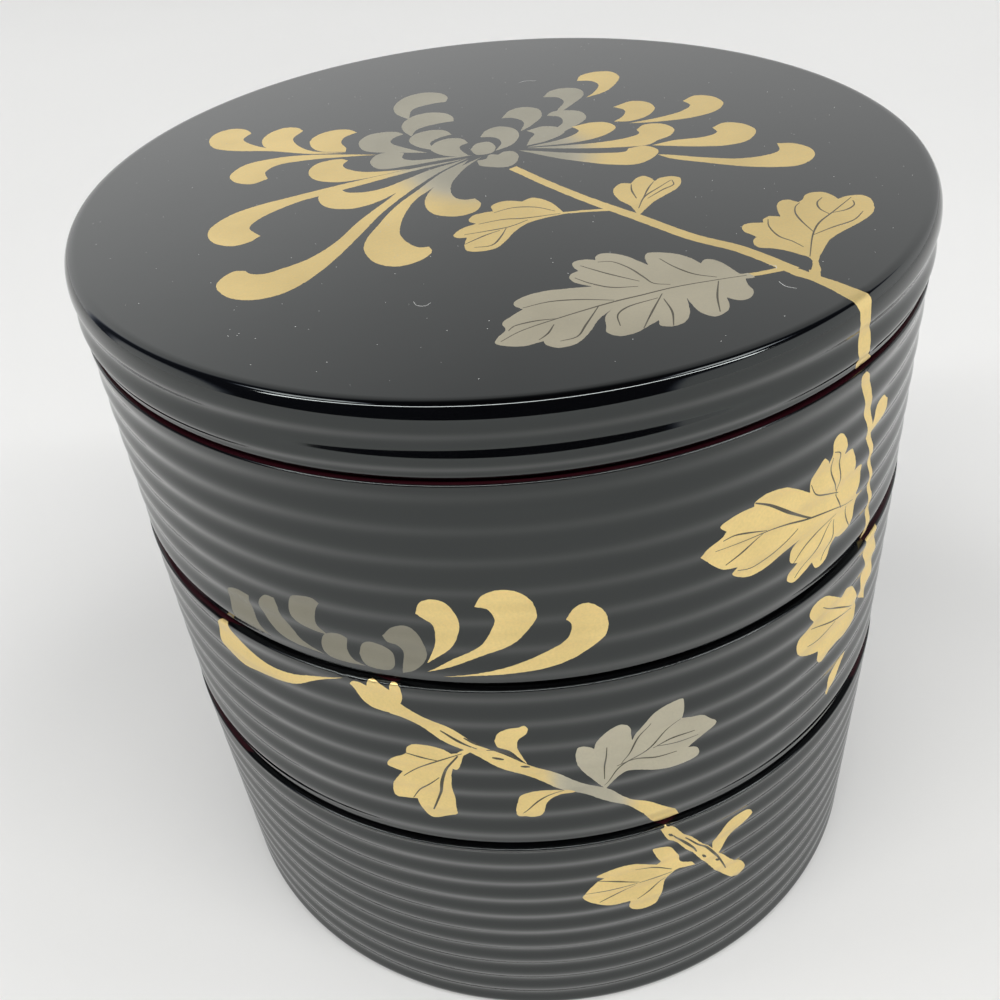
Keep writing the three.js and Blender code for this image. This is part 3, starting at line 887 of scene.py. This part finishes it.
def painted_lid(turned, wall, shapes):
    """The painted top and side of the lid, and the ring at its lower edge."""
    flat_r, top = wall.points[0]
    foot = wall.points[-ROUND_STEPS - 1 :, 1]
    start, end = EDGE_ROWS[-1], top - foot[0]
    side_rows = np.linspace(start, end, round((end - start) / LID_ROW) + 1)[1:]
    grid, shared = [], {}
    for depth in [*EDGE_ROWS, *side_rows, *(top - foot[1:])]:
        r, _, _ = wall.at_height(top - depth)
        ring = turned.ring(r, top - depth)
        for c in range(COLUMNS):
            angle = 2 * math.pi * c / COLUMNS
            shared[len(grid)] = ring[c]
            grid.append(((flat_r + depth) * math.cos(angle), (flat_r + depth) * math.sin(angle)))
    across, rows = int(flat_r / LID_GRID) + 1, int(flat_r / (LID_GRID * TRIANGLE_HEIGHT)) + 1
    for i in range(-across, across + 1):
        for j in range(-rows, rows + 1):
            x, y = (i + 0.5 * (j % 2)) * LID_GRID, j * LID_GRID * TRIANGLE_HEIGHT
            if math.hypot(x, y) < flat_r - LID_GRID / 2:
                grid.append((x, y))

    def place(x, y):
        """Radius, height, direction and normal on the lid of a place in the layout."""
        distance, angle = math.hypot(x, y), math.atan2(y, x)
        if distance <= flat_r + 1e-4:
            return distance, top, angle, 0.0, 1.0
        height = top - (distance - flat_r)
        r, out, up = wall.at_height(height)
        return r, height, angle, out, up

    turned.painted(grid, shared, shapes, place)
    return ring


# Finishes


class Nodes:
    """Adds nodes to a tree. A value is a number, a colour or the socket that it comes from."""

    def __init__(self, tree):
        self.tree = tree

    def add(self, kind, values=(), **settings):
        """Adds a node with its settings and the values of its sockets."""
        node = self.tree.nodes.new(kind)
        for key, value in settings.items():
            setattr(node, key, value)
        for socket, value in dict(values).items():
            if isinstance(value, bpy.types.NodeSocket):
                self.tree.links.new(value, node.inputs[socket])
            else:
                node.inputs[socket].default_value = value
        return node

    def combine(self, operation, *values):
        """Result of an operation on one to three numbers."""
        return self.add("ShaderNodeMath", enumerate(values), operation=operation).outputs[0]

    def scaled(self, colour, factor):
        """A colour made lighter or darker."""
        return self.add("ShaderNodeVectorMath", {0: colour, "Scale": factor}, operation="SCALE").outputs[0]

    def mixed(self, factor, first, second):
        """Colour between two plain colours."""
        values = {0: factor, 6: (*first, 1.0), 7: (*second, 1.0)}
        return self.add("ShaderNodeMix", values, data_type="RGBA").outputs[2]

    def cloud(self, where, scale, detail=3.0):
        """Noise of a scale per metre."""
        return self.add("ShaderNodeTexNoise", {"Vector": where, "Scale": scale, "Detail": detail}).outputs[0]

    def spread(self, value, low, high):
        """Noise, which lies mostly from 0.3 to 0.7, spread from low to high."""
        values = {"Value": value, "From Min": 0.3, "From Max": 0.7, "To Min": low, "To Max": high}
        return self.add("ShaderNodeMapRange", values).outputs[0]

    def bump(self, strength, distance, height):
        """Normal of a surface with fine relief."""
        values = {"Strength": strength, "Distance": distance, "Height": height}
        return self.add("ShaderNodeBump", values).outputs[0]


class Finish(Nodes):
    """A material with one shader and the object's own coordinates."""

    def __init__(self, name):
        self.material = bpy.data.materials.new(name)
        self.material.use_nodes = True
        super().__init__(self.material.node_tree)
        self.tree.nodes.clear()
        self.shader = self.add("ShaderNodeBsdfPrincipled")
        self.add("ShaderNodeOutputMaterial", {"Surface": self.shader.outputs[0]})
        self.where = self.add("ShaderNodeTexCoord").outputs["Object"]

    def set(self, **values):
        """Sets sockets of the shader, named with _ for a space, to a number, a colour or another socket."""
        for name, value in values.items():
            socket = self.shader.inputs[name.replace("_", " ")]
            if isinstance(value, bpy.types.NodeSocket):
                self.tree.links.new(value, socket)
            else:
                socket.default_value = value


def lacquer(name, colour, roughness):
    """Lacquer with a faint unevenness from the brush and a little dust haze."""
    finish = Finish(name)
    cloud = finish.cloud(finish.where, 28.0)
    haze = finish.cloud(finish.where, 160.0, 4.0)
    swell = finish.cloud(finish.where, 45.0, 2.0)
    finish.set(
        Base_Color=finish.mixed(finish.spread(cloud, 0.0, 1.0), [0.7 * c for c in colour], colour),
        Roughness=finish.spread(haze, 0.8 * roughness, 1.5 * roughness),
        Normal=finish.bump(0.06, 0.0004, swell),
        IOR=1.6,
        Specular_Tint=(0.93, 1.0, 0.985, 1.0),
    )
    return finish.material


def powder(name, gold, silver):
    """Gold powder that turns to silver powder where the mesh says so, fine grained and softly shiny."""
    finish = Finish(name)
    tone = finish.add("ShaderNodeAttribute", attribute_name="silver").outputs["Fac"]
    ramp = finish.add("ShaderNodeValToRGB", {"Fac": tone})
    stops = ramp.color_ramp.elements
    for position in (PALE_SILVER, SILVER):
        stops.new(position)
    shades = [gold, [c * k for c, k in zip(silver, (1.22, 1.18, 1.12))], silver, [0.58 * c for c in silver]]
    for stop, shade in zip(stops, shades):
        stop.color = (*[min(1.0, c) for c in shade], 1.0)
    cloud = finish.cloud(finish.where, 60.0)
    grain = finish.cloud(finish.where, 1800.0, 2.0)
    clouded = finish.scaled(ramp.outputs[0], finish.spread(cloud, 0.88, 1.0))
    finish.set(
        Base_Color=finish.scaled(clouded, finish.spread(grain, 0.95, 1.05)),
        Roughness=finish.spread(grain, 0.34, 0.5),
        Normal=finish.bump(0.08, 0.00004, grain),
        Metallic=1.0,
    )
    return finish.material


def make_finish(key, colours):
    """Makes one of the finishes."""
    name = FINISHES[key]
    if key == "powder":
        return powder(name, colours.gold, colours.silver)
    colour, roughness = {
        "black": (colours.black, 0.05),
        "red": (colours.red, 0.16),
        "line": (LINE_COLOUR, 0.3),
        "dust": (DUST_COLOUR, 0.8),
    }[key]
    return lacquer(name, colour, roughness)


def shared_finish(key, colours):
    """A finish, made where it is first asked for and then shared by the pieces."""
    return bpy.data.materials.get(FINISHES[key]) or make_finish(key, colours)


# Pieces


def place_piece(piece, node):
    """Lets a piece stand for a node of the frame, on the box's one body."""
    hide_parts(node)
    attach(piece, "root")


class STACKINGBOX_OT_lid(bpy.types.Operator):
    """Turn the lid and paint the chrysanthemum on it"""

    bl_idname = "stacking_box.lid"
    bl_label = "Lid"

    def execute(self, context):
        size = in_mm(context.scene.stacking_box_sizes)
        seat = size.bottom_height + size.middle_height + size.upper_height
        wall, after = lid_section(size)
        turned = Turned()
        ring = painted_lid(turned, wall, build_painting("lid"))
        turned.plain(after, ring)
        piece = turned.object("painted_lid", seat, context.scene.stacking_box_colours)
        place_piece(piece, "lid")
        return {"FINISHED"}


class STACKINGBOX_OT_tiers(bpy.types.Operator):
    """Turn the three tiers and paint their fronts"""

    bl_idname = "stacking_box.tiers"
    bl_label = "Tiers"

    def execute(self, context):
        size = in_mm(context.scene.stacking_box_sizes)
        heights = {
            "bottom_tier": size.bottom_height,
            "middle_tier": size.middle_height,
            "upper_tier": size.upper_height,
        }
        total = size.bottom_height + size.middle_height + size.upper_height + size.lid_height
        seat = 0.0
        for name, height in heights.items():
            before, wall, after = tier_section(size, name, height, stacked=seat > 0)
            turned = Turned()
            rings = painted_wall(turned, wall, seat - total, build_painting(name))
            turned.plain(before, turned.ring(*before[0].points[0]), rings[0])
            turned.plain(after, rings[-1])
            piece = turned.object("painted_" + name, seat, context.scene.stacking_box_colours)
            place_piece(piece, name)
            seat += height
        return {"FINISHED"}


# Stage


def make_floor(colours, near=-1.8, half=4.0):
    """Pale floor with a faint cloudiness, from a little before the box to far beyond it."""
    mesh = bpy.data.meshes.new("floor")
    corners = [(-half, near, 0), (half, near, 0), (half, half, 0), (-half, half, 0)]
    mesh.from_pydata(corners, [], [(0, 1, 2, 3)])
    floor = bpy.data.objects.new("floor", mesh)
    bpy.context.collection.objects.link(floor)
    finish = Finish("Pale floor")
    cloud = finish.spread(finish.cloud(finish.where, 3.0, 2.0), 0.0, 1.0)
    finish.set(
        Base_Color=finish.mixed(cloud, [0.97 * c for c in colours.floor], colours.floor),
        Roughness=0.85,
        Specular_IOR_Level=0.2,
    )
    mesh.materials.append(finish.material)


def make_world(scene):
    """Soft light from all round, by the direction it comes from: X the right, Y beyond the box, Z above.

    The lacquer mirrors it, so its bright and dark parts are what shows on the ribs and the lid.
    """
    world = bpy.data.worlds.new("Soft studio")
    scene.world = world
    world.use_nodes = True
    nodes = Nodes(world.node_tree)
    direction = nodes.add("ShaderNodeTexCoord").outputs["Generated"]
    x, y, z = nodes.add("ShaderNodeSeparateXYZ", {0: direction}).outputs

    def ramp(part, *stops):
        """Strength along a part of the direction, from stops of (its value, strength)."""
        node = nodes.add("ShaderNodeFloatCurve", {"Value": nodes.combine("MULTIPLY_ADD", part, 0.5, 0.5)})
        points = node.mapping.curves[0].points
        while len(points) < len(stops):
            points.new(0.5, 0.5)
        for point, (where, strength) in zip(points, stops):
            point.location = (0.5 + where / 2, strength)
            point.handle_type = "AUTO_CLAMPED"
        node.mapping.update()
        return node.outputs[0]

    # Bright wall beyond the box, darker towards the ceiling and sooner so at the sides, in a dim room
    sunk = nodes.combine("MULTIPLY_ADD", nodes.combine("ABSOLUTE", x), -0.25, z)
    height = ramp(sunk, (-1, 0.8), (-0.02, 0.9), (0.25, 0.97), (0.45, 0.8), (0.56, 0.65), (0.74, 0.42),
                  (0.88, 0.06), (1, 0.04))
    beyond = ramp(y, (-1, 0.03), (0.1, 0.05), (0.42, 0.12), (0.56, 1.0), (1, 1.0))
    sideways = ramp(x, (-1, 1.1), (-0.35, 1.02), (0, 0.88), (0.35, 0.8), (1, 0.78))
    wall = nodes.combine("MULTIPLY", nodes.combine("MULTIPLY", height, beyond), sideways)

    # Low light from far to the sides
    low = ramp(z, (-1, 0.95), (0.44, 0.95), (0.54, 0.0), (1, 0.0))
    far = ramp(x, (-1, 0.9), (-0.96, 0.8), (-0.9, 0.0), (0.55, 0.0), (0.64, 0.8), (1, 0.95))
    flank = nodes.combine("MULTIPLY", low, far)

    # Two softboxes, high on the left and on the right
    across = ramp(x, (-1, 0), (-0.68, 0), (-0.6, 1), (-0.4, 1), (-0.34, 0), (0.36, 0), (0.42, 1), (0.6, 1),
                  (0.68, 0), (1, 0))
    along = ramp(y, (-1, 0), (-0.16, 0), (-0.1, 1), (0.1, 1), (0.16, 0), (1, 0))
    softboxes = nodes.combine("MULTIPLY", across, along)

    strength = nodes.combine("MULTIPLY_ADD", softboxes, 4.5, nodes.combine("MAXIMUM", wall, flank))
    neutral = nodes.combine("MAXIMUM", nodes.combine("MULTIPLY", flank, 1.3), softboxes)
    tint = nodes.mixed(nodes.combine("MAXIMUM", beyond, neutral), (0.45, 0.54, 0.8), (1.0, 1.0, 1.0))
    background = world.node_tree.nodes["Background"]
    world.node_tree.links.new(nodes.combine("MULTIPLY", strength, 1.15), background.inputs["Strength"])
    world.node_tree.links.new(tint, background.inputs["Color"])


def make_strip(before=3.9, above=7.6):
    """Long softbox above and before the box, which draws the thin highlight along the front of the lid."""
    light = bpy.data.lights.new("strip_softbox", "AREA")
    light.shape = "RECTANGLE"
    light.size = 20.0
    light.size_y = 1.16
    light.energy = 1550.0
    lamp = bpy.data.objects.new("strip_softbox", light)
    lamp.location = (0.0, -before, above)
    lamp.rotation_euler = (-math.atan2(before, above), 0.0, 0.0)
    bpy.context.collection.objects.link(lamp)


def make_camera(scene):
    """Camera above and before the box, a little turned and rolled, in metres and radians."""
    distance = 0.27625
    elevation, pan, tilt, roll = 0.3895, 0.0200, 0.2787, -0.0873
    lid_top = Vector((0.0, 0.0, 0.196))
    place = Vector((0.0, -distance * math.cos(elevation), distance * math.sin(elevation)))
    ahead = -place.normalized()
    right = Vector((1.0, 0.0, 0.0))
    level = Matrix((right, -right.cross(ahead), ahead))
    turn = Matrix.Rotation(roll, 3, "Z") @ Matrix.Rotation(tilt, 3, "X") @ Matrix.Rotation(pan, 3, "Y")
    right, down, ahead = turn @ level
    camera = bpy.data.objects.new("camera", bpy.data.cameras.new("camera"))
    facing = Matrix((right, -down, -ahead)).transposed()
    camera.matrix_world = Matrix.Translation(place + lid_top) @ facing.to_4x4()
    camera.data.sensor_fit = "HORIZONTAL"
    camera.data.sensor_width = 36.0
    camera.data.lens = 41.52
    camera.data.clip_start = 0.01
    bpy.context.collection.objects.link(camera)
    scene.camera = camera


class STACKINGBOX_OT_stage(bpy.types.Operator):
    """Set the floor, the soft studio light and the camera"""

    bl_idname = "stacking_box.stage"
    bl_label = "Stage"

    def execute(self, context):
        make_floor(context.scene.stacking_box_colours)
        make_world(context.scene)
        make_strip()
        make_camera(context.scene)
        context.scene.view_settings.view_transform = "Standard"
        return {"FINISHED"}


class STACKINGBOX_PT_panel(bpy.types.Panel):
    """Lists the pieces and their sizes and colours"""

    bl_label = "Stacking Box"
    bl_idname = "STACKINGBOX_PT_panel"
    bl_space_type = "VIEW_3D"
    bl_region_type = "UI"
    bl_category = "Stacking Box"

    def draw(self, context):
        for operator in ("stacking_box.lid", "stacking_box.tiers", "stacking_box.stage"):
            self.layout.operator(operator)
        for group in (context.scene.stacking_box_sizes, context.scene.stacking_box_colours):
            column = self.layout.column(align=True)
            for name in group.__annotations__:
                column.prop(group, name)


CLASSES = (
    BoxSizes,
    BoxColours,
    STACKINGBOX_OT_lid,
    STACKINGBOX_OT_tiers,
    STACKINGBOX_OT_stage,
    STACKINGBOX_PT_panel,
)


def register():
    for cls in CLASSES:
        bpy.utils.register_class(cls)
    bpy.types.Scene.stacking_box_sizes = PointerProperty(type=BoxSizes)
    bpy.types.Scene.stacking_box_colours = PointerProperty(type=BoxColours)


def unregister():
    del bpy.types.Scene.stacking_box_colours
    del bpy.types.Scene.stacking_box_sizes
    for cls in reversed(CLASSES):
        bpy.utils.unregister_class(cls)


def main():
    """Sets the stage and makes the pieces."""
    register()
    bpy.ops.stacking_box.stage()
    bpy.ops.stacking_box.tiers()
    bpy.ops.stacking_box.lid()


if __name__ == "__main__":
    main()
